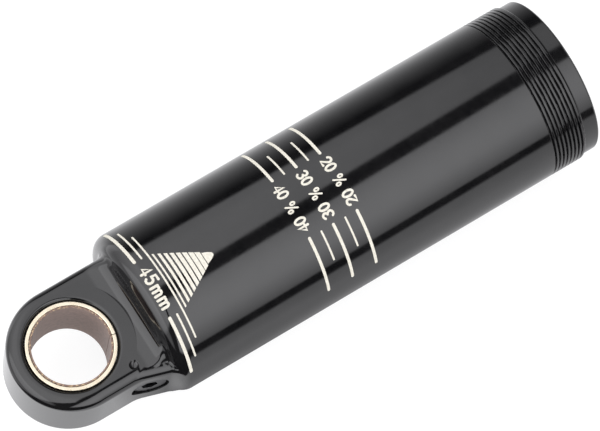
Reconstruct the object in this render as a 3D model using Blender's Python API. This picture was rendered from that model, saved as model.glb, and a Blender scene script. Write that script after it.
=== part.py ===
"""Damper body of a bicycle's air shock: body, eyelet bushing, gas valve and floating piston.

The origin is the centre of the eyelet's bore. +X runs along the tube to its open, threaded
mouth, +Z runs along the eyelet's bore, and the gas port opens on the -Y side. Metres.
"""

import math

import bmesh
import bpy
from mathutils import Vector

# Tube, along X.
TUBE_RADIUS = 0.0144
BORE_RADIUS = 0.0124
SHOULDER_X = 0.0123
SHOULDER_ROUND = 0.0026
MOUTH_X = 0.0947
BORE_FLOOR_X = 0.0185
BORE_FLOOR_ROUND = 0.0015
MOUTH_CHAMFER = 0.0003
BORE_CHAMFER = 0.0005

# Outer thread, and the plain collar between it and the mouth.
THREAD_START_X = 0.0853
THREAD_PITCH = 0.00075
THREAD_TURNS = 8
THREAD_DEPTH = 0.00042
COLLAR_RADIUS = 0.0140

# Eyelet, about Z.
EYELET_RADIUS = 0.01055
EYELET_WIDTH = 0.0127
EYELET_EDGE = 0.0020
EYELET_BORE_RADIUS = 0.00755
EYELET_CHAMFER_RADIUS = 0.0082
EYELET_CHAMFER_DEPTH = 0.0007
WEB_FILLET = 0.0040
WEB_HALF_SPAN = 0.01053
WEB_RADIUS = 0.0122
SUNK = 0.00002

# Bushing: a rolled shell and its liner, split on one side.
BUSHING_RADIUS = 0.0075
SHELL_WALL = 0.00065
LINER_WALL = 0.00030
BUSHING_LENGTH = 0.0120
SPLIT_ANGLE = math.radians(-15)
SPLIT_GAP = 0.00012
FIT_GAP = 0.00005

# Gas port: its mouth's centre, and the tilt of its axis away from -Y, towards the eyelet.
PORT_MOUTH = Vector((0.0085, -0.0111, 0))
PORT_TILT = math.radians(17)
PORT_OUTWARD = Vector((-math.sin(PORT_TILT), -math.cos(PORT_TILT), 0))
PAD_START_X = 0.0060
PAD_END_X = 0.0126
PAD_HALF_WIDTH = 0.0050
PAD_ROOT_Y = -0.0085

# Port radii, each with the depth below the pad at which it ends.
SPOTFACE_RADIUS = 0.0032
SPOTFACE_DEPTH = 0.0006
PLUG_BORE_RADIUS = 0.0029
PLUG_BORE_DEPTH = 0.0054
CORE_THREAD_RADIUS = 0.00265
CORE_THREAD_DEPTH = 0.0084
CORE_BORE_RADIUS = 0.00215
PORT_DEPTH = 0.0148
PASSAGE_RADIUS = 0.0010

# Port plug: heights are below the pad, along the port's axis.
PLUG_FACE = -0.0003
PLUG_FOOT = -0.0046
PLUG_EDGE = 0.00025
PLUG_GROOVE_TOP = -0.0033
PLUG_GROOVE_FOOT = -0.0043
PLUG_GROOVE_RADIUS = 0.00205
PLUG_THREAD_TURNS = 5
PLUG_KEY_WIDTH = 0.0025
PLUG_KEY_FOOT = -0.0024
PLUG_SEAL_RADIUS = 0.00037
FINE_PITCH = 0.0005
FINE_THREAD_DEPTH = 0.0003

# Gas valve, as heights or (radius, height) outlines below the pad.
CORE_TOP = -0.0057
CORE_FOOT = -0.0082
CORE_HOLE_RADIUS = 0.0009
CORE_EDGE = 0.0002
CORE_THREAD_TURNS = 4
CORE_FLAT_SPAN = (0.0013, 0.0030)
CORE_FLAT_FOOT = -0.0064
GASKET_OUTLINE = [
    (0.00155, -0.00845),
    (0.00205, -0.00845),
    (0.00205, -0.0089),
    (0.00155, -0.0092),
]
BARREL_OUTLINE = [
    (0.00125, -0.00825),
    (0.00150, -0.00825),
    (0.00150, -0.00925),
    (0.00170, -0.00925),
    (0.00170, -0.01235),
    (0.00150, -0.01245),
    (0.00065, -0.01245),
    (0.00065, -0.01215),
    (0.00125, -0.01215),
]
PIN_OUTLINE = [
    (0, -0.0055),
    (0.00035, -0.0055),
    (0.00050, -0.0057),
    (0.00050, -0.0089),
    (0.00110, -0.0089),
    (0.00110, -0.0091),
    (0.00050, -0.0091),
    (0.00050, -0.0134),
    (0, -0.0134),
]
CUP_OUTLINE = [
    (0.00052, -0.0133),
    (0.00160, -0.0133),
    (0.00160, -0.01262),
    (0.00142, -0.01262),
    (0.00142, -0.01312),
    (0.00052, -0.01312),
]
PLUNGER_SEAL_OUTLINE = [
    (0.00055, -0.01310),
    (0.00140, -0.01310),
    (0.00140, -0.01250),
    (0.00055, -0.01250),
]
SPRING_WIRE_RADIUS = 0.00013
SPRING_RADIUS = 0.00088
SPRING_COILS = 5
SPRING_FOOT = -0.01198
SPRING_TOP = -0.00926
POINTS_PER_COIL = 12

# Small blind dimple on the eyelet's upper face.
DIMPLE_PLACE = (0.0066, -0.0080)
DIMPLE_RADIUS = 0.0007
DIMPLE_DEPTH = 0.0011

# Floating piston, at its place with the damper charged and extended.
PISTON_FACE_X = 0.0365
PISTON_LENGTH = 0.0082
PISTON_RADIUS = 0.0123
PISTON_CUP_RADIUS = 0.0096
PISTON_CROWN = 0.0032
PISTON_BOSS_RADIUS = 0.0042
PISTON_BOSS_LENGTH = 0.0056
RING_RADIUS = 0.01235
QUAD_GROOVE_RADIUS = 0.0105
QUAD_GROOVE = (-0.0026, -0.0008)
GLIDE_GROOVE_RADIUS = 0.0114
GLIDE_GROOVE = (-0.0072, -0.0044)
BLEED_SEAT_RADIUS = 0.0030
BLEED_SEAT_DEPTH = 0.0022
BLEED_HOLE_RADIUS = 0.0016
PISTON_EDGE = 0.0004
GLIDE_RING_GAP = 0.0008
QUAD_WAIST = 0.6

# Bleed screw, as heights from the piston's face.
SCREW_TOP = -0.0001
SCREW_HEAD_RADIUS = 0.0028
SCREW_HEAD_EDGE = 0.0003
SCREW_HEAD_FOOT = -0.0013
SCREW_THREAD_TOP = -0.0024
SCREW_THREAD_TURNS = 5
SCREW_THREAD_DEPTH = 0.0002
SCREW_FOOT = -0.0053
SCREW_KEY_RADIUS = 0.00115
SCREW_KEY_LOBE = 0.00015
SCREW_KEY_LOBES = 6
SCREW_KEY_FOOT = -0.0012
SCREW_SEAL_RADIUS = 0.0004
SCREW_SEAL_PLACE = 0.00055

ROUND_STEPS = 48
SMALL_STEPS = 24
ARC_STEPS = 4


def clear_scene():
    for thing in list(bpy.data.objects):
        bpy.data.objects.remove(thing, do_unlink=True)


def finish_material(name, colour, roughness, metallic):
    finish = bpy.data.materials.new(name)
    finish.use_nodes = True
    shader = finish.node_tree.nodes["Principled BSDF"]
    shader.inputs["Base Color"].default_value = (*colour, 1)
    shader.inputs["Roughness"].default_value = roughness
    shader.inputs["Metallic"].default_value = metallic
    return finish


def add_object(name, bm, holder, finish):
    """Links a mesh as one named object under a holder, with round faces shaded smooth."""
    bmesh.ops.recalc_face_normals(bm, faces=bm.faces)
    mesh = bpy.data.meshes.new(name)
    bm.to_mesh(mesh)
    bm.free()
    mesh.shade_smooth()
    mesh.set_sharp_from_angle(angle=math.radians(35))
    piece = bpy.data.objects.new(name, mesh)
    bpy.context.scene.collection.objects.link(piece)
    piece.parent = holder
    if finish:
        mesh.materials.append(finish)
    return piece


def add_holder(name, place, direction):
    """An empty whose local +Z points along the direction."""
    holder = bpy.data.objects.new(name, None)
    holder.location = place
    holder.rotation_mode = "QUATERNION"
    holder.rotation_quaternion = Vector((0, 0, 1)).rotation_difference(Vector(direction))
    bpy.context.scene.collection.objects.link(holder)
    return holder


def helper(piece):
    """Marks an object that only shapes others."""
    piece.hide_render = True
    piece.display_type = "WIRE"
    return piece


def combine(piece, other, operation):
    change = piece.modifiers.new(other.name, "BOOLEAN")
    change.operation = operation
    change.solver = "EXACT"
    change.object = other


def arc(centre, radius, start, end, steps=ARC_STEPS):
    """Points from the start angle to the end angle, in degrees, about a centre."""
    angles = [math.radians(start + (end - start) * k / steps) for k in range(steps + 1)]
    return [
        (centre[0] + radius * math.cos(a), centre[1] + radius * math.sin(a)) for a in angles
    ]


def thread(crest, start, pitch, turns, depth):
    """V-shaped ridges as (radius, height) points, rising from the start."""
    outline = []
    for turn in range(turns):
        height = start + turn * pitch
        outline += [(crest, height), (crest - depth, height + pitch / 2)]
    return outline + [(crest, start + turns * pitch)]


def turned(name, outline, holder, finish, steps=ROUND_STEPS, sweep=math.tau, start=0.0):
    """Spins an outline of (radius, height) points about the holder's Z axis."""
    bm = bmesh.new()
    across = Vector((math.cos(start), math.sin(start), 0))
    corners = [bm.verts.new(across * radius + Vector((0, 0, z))) for radius, z in outline]
    edges = [bm.edges.new(pair) for pair in zip(corners, corners[1:])]
    if outline[0][0] > 0 or outline[-1][0] > 0:
        edges.append(bm.edges.new((corners[-1], corners[0])))
    bmesh.ops.spin(
        bm, geom=corners + edges, cent=(0, 0, 0), axis=(0, 0, 1), angle=sweep, steps=steps
    )
    bmesh.ops.remove_doubles(bm, verts=bm.verts, dist=1e-7)
    ends = [edge for edge in bm.edges if edge.is_boundary]
    if ends:
        bmesh.ops.holes_fill(bm, edges=ends, sides=0)
    return add_object(name, bm, holder, finish)


def prism(name, corners, low, high, holder, finish=None, along="Z", edge=0.0):
    """Extrudes a flat outline along Z or Y, with the two end outlines bevelled by edge."""
    bm = bmesh.new()
    if along == "Z":
        base = [bm.verts.new((x, y, low)) for x, y in corners]
        push = Vector((0, 0, high - low))
    else:
        base = [bm.verts.new((x, low, z)) for x, z in corners]
        push = Vector((0, high - low, 0))
    face = bm.faces.new(base)
    raised = bmesh.ops.extrude_face_region(bm, geom=[face])["geom"]
    top = [item for item in raised if isinstance(item, bmesh.types.BMVert)]
    bmesh.ops.translate(bm, verts=top, vec=push)
    if edge:
        lid = [item for item in raised if isinstance(item, bmesh.types.BMFace)][0]
        rims = list(face.edges) + list(lid.edges)
        bmesh.ops.bevel(bm, geom=rims, offset=edge, segments=3, profile=0.5, affect="EDGES")
    return add_object(name, bm, holder, finish)


def star(radius, lobe, lobes, steps):
    """A closed outline with evenly spaced round lobes."""
    turns = [math.tau * k / steps for k in range(steps)]
    return [
        (
            (radius + lobe * math.cos(lobes * t)) * math.cos(t),
            (radius + lobe * math.cos(lobes * t)) * math.sin(t),
        )
        for t in turns
    ]


def hexagon(across_flats):
    corner = across_flats / math.sqrt(3)
    return [
        (corner * math.cos(math.tau * k / 6), corner * math.sin(math.tau * k / 6))
        for k in range(6)
    ]


def ring(centre, height, radius, steps=10):
    """The round section of an O-ring."""
    return arc((centre, height), radius, 0, 360 - 360 / steps, steps - 1)


def tube_outline():
    """The tube from the axis at its shoulder, round its outside, to the axis at the bore's floor."""
    half_width = TUBE_RADIUS - SHOULDER_ROUND
    thread_end = THREAD_START_X + THREAD_TURNS * THREAD_PITCH
    collar_start = thread_end + (TUBE_RADIUS - COLLAR_RADIUS)
    outline = [(0, SHOULDER_X)]
    outline += arc((half_width, SHOULDER_X + SHOULDER_ROUND), SHOULDER_ROUND, -90, 0, 6)
    outline += thread(TUBE_RADIUS, THREAD_START_X, THREAD_PITCH, THREAD_TURNS, THREAD_DEPTH)
    outline += [
        (COLLAR_RADIUS, collar_start),
        (COLLAR_RADIUS, MOUTH_X - MOUTH_CHAMFER),
        (COLLAR_RADIUS - MOUTH_CHAMFER, MOUTH_X),
        (BORE_RADIUS + BORE_CHAMFER, MOUTH_X),
        (BORE_RADIUS, MOUTH_X - BORE_CHAMFER),
    ]
    floor_centre = (BORE_RADIUS - BORE_FLOOR_ROUND, BORE_FLOOR_X + BORE_FLOOR_ROUND)
    outline += arc(floor_centre, BORE_FLOOR_ROUND, 0, -90)
    outline.append((0, BORE_FLOOR_X))
    return outline


def eyelet_block(world):
    """The eyelet's flat head: a half disc that runs straight back into the tube."""
    back = SHOULDER_X + 2 * EYELET_EDGE
    head = arc((0, 0), EYELET_RADIUS, 90, 270, ROUND_STEPS // 2)
    head += [(back, -EYELET_RADIUS), (back, EYELET_RADIUS)]
    half = EYELET_WIDTH / 2
    return helper(prism("eyelet_block", head, -half, half, world, edge=EYELET_EDGE))


def web_block(world, along_x):
    """Hollow curves that lift the eyelet's two faces up to the tube's shoulder."""
    level = EYELET_WIDTH / 2 - SUNK
    start = SHOULDER_X - WEB_FILLET
    upper = arc((start, level + WEB_FILLET), WEB_FILLET, -90, 0, 6)
    upper.append((SHOULDER_X + SHOULDER_ROUND / 4, level + WEB_FILLET))
    lower = [(x, -z) for x, z in reversed(upper)]
    span = WEB_HALF_SPAN
    web = prism("web_block", upper + lower, -span, span, world, along="Y", edge=EYELET_EDGE)
    reach = [(0, 0), (WEB_RADIUS, 0), (WEB_RADIUS, MOUTH_X / 2), (0, MOUTH_X / 2)]
    limit = helper(turned("web_limit", reach, along_x, None))
    combine(web, limit, "INTERSECT")
    return helper(web)


def pad_block(world):
    """The boss on the -Y side, whose flat face is square to the port."""

    def on_pad(x):
        return PORT_MOUTH.y - (x - PORT_MOUTH.x) * math.tan(PORT_TILT)

    corners = [
        (PAD_START_X, PAD_ROOT_Y),
        (PAD_START_X, on_pad(PAD_START_X)),
        (PAD_END_X, on_pad(PAD_END_X)),
        (PAD_END_X, PAD_ROOT_Y),
    ]
    return helper(prism("pad_block", corners, -PAD_HALF_WIDTH, PAD_HALF_WIDTH, world))


def eyelet_cutter(world):
    half = EYELET_WIDTH / 2
    flank = half - EYELET_CHAMFER_DEPTH
    spread = (EYELET_CHAMFER_RADIUS - EYELET_BORE_RADIUS) / EYELET_CHAMFER_DEPTH
    mouth = EYELET_CHAMFER_RADIUS + spread * half
    outline = [
        (0, -2 * half),
        (mouth, -2 * half),
        (EYELET_BORE_RADIUS, -flank),
        (EYELET_BORE_RADIUS, flank),
        (mouth, 2 * half),
        (0, 2 * half),
    ]
    return helper(turned("eyelet_cutter", outline, world, None))


def port_cutter(port):
    outline = [
        (0, 2 * SPOTFACE_RADIUS),
        (SPOTFACE_RADIUS, 2 * SPOTFACE_RADIUS),
        (SPOTFACE_RADIUS, -SPOTFACE_DEPTH),
        (PLUG_BORE_RADIUS, -SPOTFACE_DEPTH),
        (PLUG_BORE_RADIUS, -PLUG_BORE_DEPTH),
        (CORE_THREAD_RADIUS, -PLUG_BORE_DEPTH),
        (CORE_THREAD_RADIUS, -CORE_THREAD_DEPTH),
        (CORE_BORE_RADIUS, -CORE_THREAD_DEPTH),
        (CORE_BORE_RADIUS, -PORT_DEPTH),
        (0, -PORT_DEPTH),
    ]
    return helper(turned("port_cutter", outline, port, None, SMALL_STEPS))


def passage_cutter(along_x):
    """The drilling from the gas chamber's floor into the port."""
    inner = PORT_MOUTH.x + abs(PORT_MOUTH.y) * math.tan(PORT_TILT)
    outline = [
        (0, inner),
        (PASSAGE_RADIUS, inner),
        (PASSAGE_RADIUS, BORE_FLOOR_X + BORE_FLOOR_ROUND),
        (0, BORE_FLOOR_X + BORE_FLOOR_ROUND),
    ]
    return helper(turned("passage_cutter", outline, along_x, None, SMALL_STEPS // 2))


def dimple_cutter(face):
    outline = [
        (0, -DIMPLE_DEPTH - DIMPLE_RADIUS / 2),
        (DIMPLE_RADIUS, -DIMPLE_DEPTH),
        (DIMPLE_RADIUS, DIMPLE_DEPTH),
        (0, DIMPLE_DEPTH),
    ]
    return helper(turned("dimple_cutter", outline, face, None, SMALL_STEPS // 2))


def damper_body(world, along_x, port, finish):
    body = turned("damper_body", tube_outline(), along_x, finish)
    combine(body, eyelet_block(world), "UNION")
    combine(body, web_block(world, along_x), "UNION")
    combine(body, pad_block(world), "UNION")
    face = add_holder("dimple_place", (*DIMPLE_PLACE, EYELET_WIDTH / 2), (0, 0, 1))
    for cutter in (
        eyelet_cutter(world),
        port_cutter(port),
        passage_cutter(along_x),
        dimple_cutter(face),
    ):
        combine(body, cutter, "DIFFERENCE")
    return body


def split_sleeve(name, inner, outer, chamfer, world, finish):
    """A rolled sleeve with a hairline gap along one side."""
    half = BUSHING_LENGTH / 2
    outline = [
        (inner, -half),
        (outer - chamfer, -half),
        (outer, -half + chamfer),
        (outer, half - chamfer),
        (outer - chamfer, half),
        (inner, half),
    ]
    gap = SPLIT_GAP / outer
    sweep = math.tau - gap
    return turned(name, outline, world, finish, ROUND_STEPS, sweep, SPLIT_ANGLE + gap / 2)


def bushing(world, shell_finish, liner_finish):
    shell_inner = BUSHING_RADIUS - SHELL_WALL
    liner_outer = shell_inner - FIT_GAP
    liner_inner = liner_outer - LINER_WALL
    split_sleeve("bushing_shell", shell_inner, BUSHING_RADIUS, 0.0002, world, shell_finish)
    split_sleeve("bushing_liner", liner_inner, liner_outer, 0.0001, world, liner_finish)


def port_plug(port, finish, seal_finish):
    radius = PLUG_BORE_RADIUS - FIT_GAP
    thread_top = -PLUG_FACE + PLUG_EDGE
    outline = [(0, PLUG_FACE), (radius - PLUG_EDGE, PLUG_FACE)]
    ridges = thread(radius, thread_top, FINE_PITCH, PLUG_THREAD_TURNS, FINE_THREAD_DEPTH)
    outline += [(r, -h) for r, h in ridges]
    outline += [
        (radius, PLUG_GROOVE_TOP),
        (PLUG_GROOVE_RADIUS, PLUG_GROOVE_TOP),
        (PLUG_GROOVE_RADIUS, PLUG_GROOVE_FOOT),
        (radius, PLUG_GROOVE_FOOT),
        (radius - PLUG_EDGE, PLUG_FOOT),
        (0, PLUG_FOOT),
    ]
    plug = turned("fill_port_plug", outline, port, finish, SMALL_STEPS)
    key = hexagon(PLUG_KEY_WIDTH)
    socket = helper(prism("plug_socket", key, PLUG_KEY_FOOT, SPOTFACE_DEPTH, port))
    combine(plug, socket, "DIFFERENCE")
    middle = (PLUG_GROOVE_TOP + PLUG_GROOVE_FOOT) / 2
    seat = PLUG_GROOVE_RADIUS + PLUG_SEAL_RADIUS + FIT_GAP
    turned(
        "fill_port_o_ring", ring(seat, middle, PLUG_SEAL_RADIUS), port, seal_finish, SMALL_STEPS
    )


def valve_core(port, brass, rubber):
    """The parts of the gas valve that stay still: threaded head, gasket and spring barrel."""
    radius = CORE_THREAD_RADIUS - FIT_GAP
    thread_top = -CORE_TOP + CORE_EDGE
    head = [(CORE_HOLE_RADIUS, CORE_TOP), (radius - CORE_EDGE, CORE_TOP)]
    ridges = thread(radius, thread_top, FINE_PITCH, CORE_THREAD_TURNS, FINE_THREAD_DEPTH)
    head += [(r, -h) for r, h in ridges]
    head += [(radius - CORE_EDGE, CORE_FOOT), (CORE_HOLE_RADIUS, CORE_FOOT)]
    top = turned("valve_core_head", head, port, brass, SMALL_STEPS)
    reach = CORE_FLAT_SPAN[1]
    for number, side in enumerate((-1, 1)):
        low, high = sorted(side * edge for edge in CORE_FLAT_SPAN)
        flat = [(low, -reach), (high, -reach), (high, reach), (low, reach)]
        notch = helper(prism(f"head_flat_{number}", flat, CORE_FLAT_FOOT, PLUG_FOOT, port))
        combine(top, notch, "DIFFERENCE")
    turned("valve_core_gasket", GASKET_OUTLINE, port, rubber, SMALL_STEPS)
    turned("valve_core_barrel", BARREL_OUTLINE, port, brass, SMALL_STEPS)


def valve_stem(port, brass, rubber):
    """The parts of the gas valve that move together when the pin is pressed."""
    turned("valve_pin", PIN_OUTLINE, port, brass, SMALL_STEPS // 2)
    turned("valve_plunger_cup", CUP_OUTLINE, port, brass, SMALL_STEPS)
    turned("valve_plunger_seal", PLUNGER_SEAL_OUTLINE, port, rubber, SMALL_STEPS)


def valve_spring(port, finish):
    """An open coil between the barrel's lip and the pin's collar."""
    coil = bpy.data.curves.new("valve_spring", "CURVE")
    coil.dimensions = "3D"
    coil.bevel_depth = SPRING_WIRE_RADIUS
    coil.bevel_resolution = 1
    coil.use_fill_caps = True
    coil.materials.append(finish)
    line = coil.splines.new("POLY")
    line.points.add(SPRING_COILS * POINTS_PER_COIL)
    for number, point in enumerate(line.points):
        turn = math.tau * number / POINTS_PER_COIL
        share = number / (SPRING_COILS * POINTS_PER_COIL)
        height = SPRING_FOOT + (SPRING_TOP - SPRING_FOOT) * share
        across = (SPRING_RADIUS * math.cos(turn), SPRING_RADIUS * math.sin(turn))
        point.co = (*across, height, 1)
    piece = bpy.data.objects.new("valve_spring", coil)
    bpy.context.scene.collection.objects.link(piece)
    piece.parent = port


def floating_piston(rider, finish):
    """A cup, open towards the gas, with two seal grooves and a bleed hole in a central boss."""
    edge = PISTON_EDGE
    outline = [
        (BLEED_SEAT_RADIUS, 0),
        (PISTON_RADIUS - edge, 0),
        (PISTON_RADIUS, -edge),
        (PISTON_RADIUS, QUAD_GROOVE[1]),
        (QUAD_GROOVE_RADIUS, QUAD_GROOVE[1]),
        (QUAD_GROOVE_RADIUS, QUAD_GROOVE[0]),
        (PISTON_RADIUS, QUAD_GROOVE[0]),
        (PISTON_RADIUS, GLIDE_GROOVE[1]),
        (GLIDE_GROOVE_RADIUS, GLIDE_GROOVE[1]),
        (GLIDE_GROOVE_RADIUS, GLIDE_GROOVE[0]),
        (PISTON_RADIUS, GLIDE_GROOVE[0]),
        (PISTON_RADIUS, -PISTON_LENGTH + edge),
        (PISTON_RADIUS - edge, -PISTON_LENGTH),
        (PISTON_CUP_RADIUS, -PISTON_LENGTH),
        (PISTON_CUP_RADIUS, -PISTON_CROWN),
        (PISTON_BOSS_RADIUS, -PISTON_CROWN),
        (PISTON_BOSS_RADIUS, -PISTON_BOSS_LENGTH),
        (BLEED_HOLE_RADIUS, -PISTON_BOSS_LENGTH),
        (BLEED_HOLE_RADIUS, -BLEED_SEAT_DEPTH),
        (BLEED_SEAT_RADIUS, -BLEED_SEAT_DEPTH),
    ]
    turned("ifp_piston", outline, rider, finish)


def piston_rings(rider, rubber, polymer):
    """A four-lobed main seal and a split wear band."""
    middle = (QUAD_GROOVE[0] + QUAD_GROOVE[1]) / 2
    inner = QUAD_GROOVE_RADIUS + FIT_GAP
    half_height = (QUAD_GROOVE[1] - QUAD_GROOVE[0]) / 2 - FIT_GAP
    centre = (inner + RING_RADIUS) / 2
    half_depth = (RING_RADIUS - inner) / 2
    waist = QUAD_WAIST
    quad = [
        (centre + half_depth, middle - half_height * waist),
        (centre + half_depth * waist, middle),
        (centre + half_depth, middle + half_height * waist),
        (centre + half_depth * waist, middle + half_height),
        (centre, middle + half_height * waist),
        (centre - half_depth * waist, middle + half_height),
        (centre - half_depth, middle + half_height * waist),
        (centre - half_depth * waist, middle),
        (centre - half_depth, middle - half_height * waist),
        (centre - half_depth * waist, middle - half_height),
        (centre, middle - half_height * waist),
        (centre + half_depth * waist, middle - half_height),
    ]
    turned("ifp_quad_ring", quad, rider, rubber)
    low, high = GLIDE_GROOVE[0] + FIT_GAP, GLIDE_GROOVE[1] - FIT_GAP
    inner = GLIDE_GROOVE_RADIUS + FIT_GAP
    band = [(inner, low), (RING_RADIUS, low), (RING_RADIUS, high), (inner, high)]
    gap = GLIDE_RING_GAP / RING_RADIUS
    turned("ifp_glide_ring", band, rider, polymer, ROUND_STEPS, math.tau - gap)


def bleed_screw(rider, steel, rubber):
    """The screw that closes the piston's bleed hole, and the O-ring under its head."""
    head_radius = SCREW_HEAD_RADIUS
    shank_radius = BLEED_HOLE_RADIUS - FIT_GAP
    outline = [
        (0, SCREW_TOP),
        (head_radius - SCREW_HEAD_EDGE, SCREW_TOP),
        (head_radius, SCREW_TOP - SCREW_HEAD_EDGE),
        (head_radius, SCREW_HEAD_FOOT),
        (shank_radius, SCREW_HEAD_FOOT),
    ]
    ridges = thread(
        shank_radius, -SCREW_THREAD_TOP, FINE_PITCH, SCREW_THREAD_TURNS, SCREW_THREAD_DEPTH
    )
    outline += [(r, -h) for r, h in ridges]
    outline += [(shank_radius - SCREW_HEAD_EDGE, SCREW_FOOT), (0, SCREW_FOOT)]
    screw = turned("ifp_bleed_screw", outline, rider, steel, SMALL_STEPS)
    key = star(SCREW_KEY_RADIUS, SCREW_KEY_LOBE, SCREW_KEY_LOBES, SMALL_STEPS)
    socket = helper(prism("bleed_socket", key, SCREW_KEY_FOOT, SPOTFACE_DEPTH, rider))
    combine(screw, socket, "DIFFERENCE")
    middle = (SCREW_HEAD_FOOT - BLEED_SEAT_DEPTH) / 2
    seal = ring(shank_radius + SCREW_SEAL_PLACE, middle, SCREW_SEAL_RADIUS)
    turned("ifp_bleed_o_ring", seal, rider, rubber, SMALL_STEPS)


def build():
    clear_scene()
    black = finish_material("black_anodised", (0.018, 0.018, 0.019), 0.28, 0.4)
    shell = finish_material("tinned_bronze", (0.86, 0.78, 0.62), 0.30, 1.0)
    liner = finish_material("brown_liner", (0.20, 0.12, 0.09), 0.55, 0.0)
    steel = finish_material("dark_steel", (0.10, 0.10, 0.11), 0.35, 1.0)
    brass = finish_material("brass", (0.72, 0.55, 0.27), 0.30, 1.0)
    bright = finish_material("spring_steel", (0.62, 0.62, 0.64), 0.25, 1.0)
    rubber = finish_material("nitrile_rubber", (0.02, 0.02, 0.02), 0.60, 0.0)
    grey = finish_material("clear_anodised", (0.60, 0.61, 0.63), 0.35, 0.9)
    polymer = finish_material("ptfe_band", (0.10, 0.16, 0.14), 0.50, 0.0)

    world = add_holder("eyelet_centre", (0, 0, 0), (0, 0, 1))
    along_x = add_holder("tube_axis", (0, 0, 0), (1, 0, 0))
    port = add_holder("port_axis", PORT_MOUTH, PORT_OUTWARD)
    rider = add_holder("piston_axis", (PISTON_FACE_X, 0, 0), (1, 0, 0))

    damper_body(world, along_x, port, black)
    bushing(world, shell, liner)
    port_plug(port, steel, rubber)
    valve_core(port, brass, rubber)
    valve_stem(port, brass, rubber)
    valve_spring(port, bright)
    floating_piston(rider, grey)
    piston_rings(rider, rubber, polymer)
    bleed_screw(rider, bright, rubber)


build()
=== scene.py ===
"""Looks of a rear shock's damper body: the black anodised tube and eyelet, the eyelet's bushing, the
etched scales, the port's plug and the floating piston, in metres. +X runs along the tube and +Z
along the eyelet's bore."""

import math

import bmesh
import bpy
import numpy as np
from mathutils import Matrix, Vector


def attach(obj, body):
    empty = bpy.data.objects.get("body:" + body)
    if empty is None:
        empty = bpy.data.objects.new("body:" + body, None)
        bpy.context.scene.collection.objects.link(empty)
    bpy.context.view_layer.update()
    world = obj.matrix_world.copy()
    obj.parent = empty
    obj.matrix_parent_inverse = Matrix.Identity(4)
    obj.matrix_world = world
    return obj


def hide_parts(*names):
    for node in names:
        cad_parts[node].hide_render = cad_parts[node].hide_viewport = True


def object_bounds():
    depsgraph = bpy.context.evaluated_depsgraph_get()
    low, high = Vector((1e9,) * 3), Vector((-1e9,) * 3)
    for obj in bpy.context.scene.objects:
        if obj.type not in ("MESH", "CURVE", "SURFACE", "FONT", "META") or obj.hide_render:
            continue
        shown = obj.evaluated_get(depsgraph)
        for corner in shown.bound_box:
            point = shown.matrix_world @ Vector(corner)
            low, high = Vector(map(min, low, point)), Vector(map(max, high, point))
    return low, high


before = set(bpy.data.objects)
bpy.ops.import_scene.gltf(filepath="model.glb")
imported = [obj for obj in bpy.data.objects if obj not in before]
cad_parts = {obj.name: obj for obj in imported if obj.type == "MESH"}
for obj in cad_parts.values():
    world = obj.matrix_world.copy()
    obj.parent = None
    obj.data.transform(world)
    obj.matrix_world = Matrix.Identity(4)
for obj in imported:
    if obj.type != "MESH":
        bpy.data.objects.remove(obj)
cad_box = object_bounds()

MM = 0.001

# The damper body.
TUBE_RADIUS = cad_box[1].z
MOUTH_X = cad_box[1].x
EYELET_RADIUS = -cad_box[0].x
EYELET_HALF_WIDTH = 6.35 * MM
EYELET_EDGE = 2.0 * MM
SHOULDER_X = 12.3 * MM
SHOULDER_ROUND = 2.6 * MM
SHOULDER_FILLET = 0.9 * MM
LOWER_EDGE = 0.6 * MM
WEB_FILLET = 4.0 * MM
WEB_REACH = 11.9 * MM
WEB_BLEND = 0.8 * MM
WEB_EDGE = 0.6 * MM
FACING_GAP = 0.005 * MM
FACING_RADIUS = 10.55 * MM
BORE_RADIUS = 12.4 * MM
BORE_FLOOR_X = 18.5 * MM
BORE_FLOOR_ROUND = 1.5 * MM
JOIN_X = 15.6 * MM
EYELET_BORE = 7.55 * MM
EYELET_BORE_LIP = 8.25 * MM
GRID_STEP = 0.25 * MM
AROUND = 256

# The fill port on the -Y side.
PORT_TILT = math.radians(17)
PORT_MOUTH = Vector((8.5 * MM, -11.1 * MM, 0))
PORT_AXIS = Vector((-math.sin(PORT_TILT), -math.cos(PORT_TILT), 0))
PAD_START_X = 6.0 * MM
PAD_END_X = 12.6 * MM
PAD_BLEND = 0.3 * MM
SPOTFACE_RADIUS = 3.2 * MM
SPOTFACE_DEPTH = 0.6 * MM
PLUG_BORE_RADIUS = 2.9 * MM
PLUG_BORE_DEPTH = 5.4 * MM
CORE_RADIUS = 2.15 * MM
CORE_SEAT_RADIUS = 2.65 * MM
CORE_SEAT_DEPTH = 8.4 * MM
PORT_DEPTH = 14.8 * MM
PASSAGE_RADIUS = 1.0 * MM
DIMPLE_PLACE = Vector((6.9 * MM, -8.0 * MM, EYELET_HALF_WIDTH))
DIMPLE_RADIUS = 0.75 * MM
DIMPLE_DEPTH = 1.1 * MM

# The thread and the collar at the open end.
THREAD_START_X = 85.3 * MM
THREAD_END_X = 91.5 * MM
THREAD_PITCH = 0.75 * MM
THREAD_DEPTH = 0.42 * MM
GROOVE_WIDTH = 0.46 * MM
COLLAR_RADIUS = 14.0 * MM
COLLAR_START_X = 91.9 * MM
MOUTH_EDGE = 0.25 * MM
MOUTH_LIP = 0.45 * MM
TURNED_EDGE = 0.08 * MM
RINGS_PER_PITCH = 24

# The bushing.
BUSHING_RADIUS = 7.5 * MM
BUSHING_HALF = 6.0 * MM
SHELL_WALL = 0.65 * MM
LINER_WALL = 0.3 * MM
LINER_GAP = 0.05 * MM
SPLIT_ANGLE = math.radians(-15)
SPLIT_GAP = 0.12 * MM
SHELL_EDGE = 0.12 * MM
LINER_EDGE = 0.08 * MM
WORN_LIP = 1.0 * MM

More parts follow.
